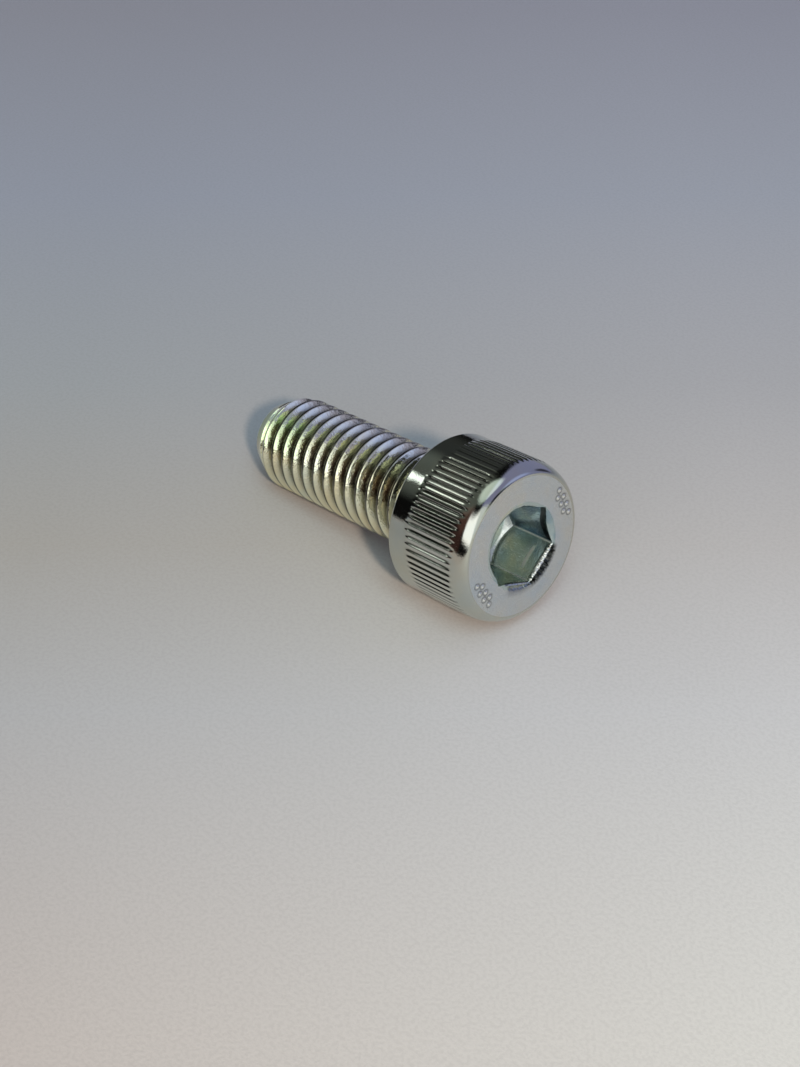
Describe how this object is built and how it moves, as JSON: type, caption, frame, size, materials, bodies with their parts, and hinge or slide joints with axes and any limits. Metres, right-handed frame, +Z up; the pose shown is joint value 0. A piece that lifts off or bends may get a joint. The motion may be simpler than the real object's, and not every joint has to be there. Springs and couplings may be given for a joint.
{
  "type": "hex socket cap screw",
  "caption": "Steel screw with a round knurled head, a hexagonal socket in its face and a coarse thread up to the head, lying on its side.",
  "frame": {"origin": "on the surface the screw lies on, below the middle of its outline box", "axes": "+Z up; the screw lies in the X-Z plane with its head towards +X, its axis rising 7.8 degrees towards the head"},
  "size_m": [0.029, 0.0132, 0.0138],
  "materials": {
    "zinc_steel": "bright zinc plate, satin on the face of the head"
  },
  "bodies": {
    "root": {"cap_screw": "zinc_steel"}
  },
  "joints": []
}
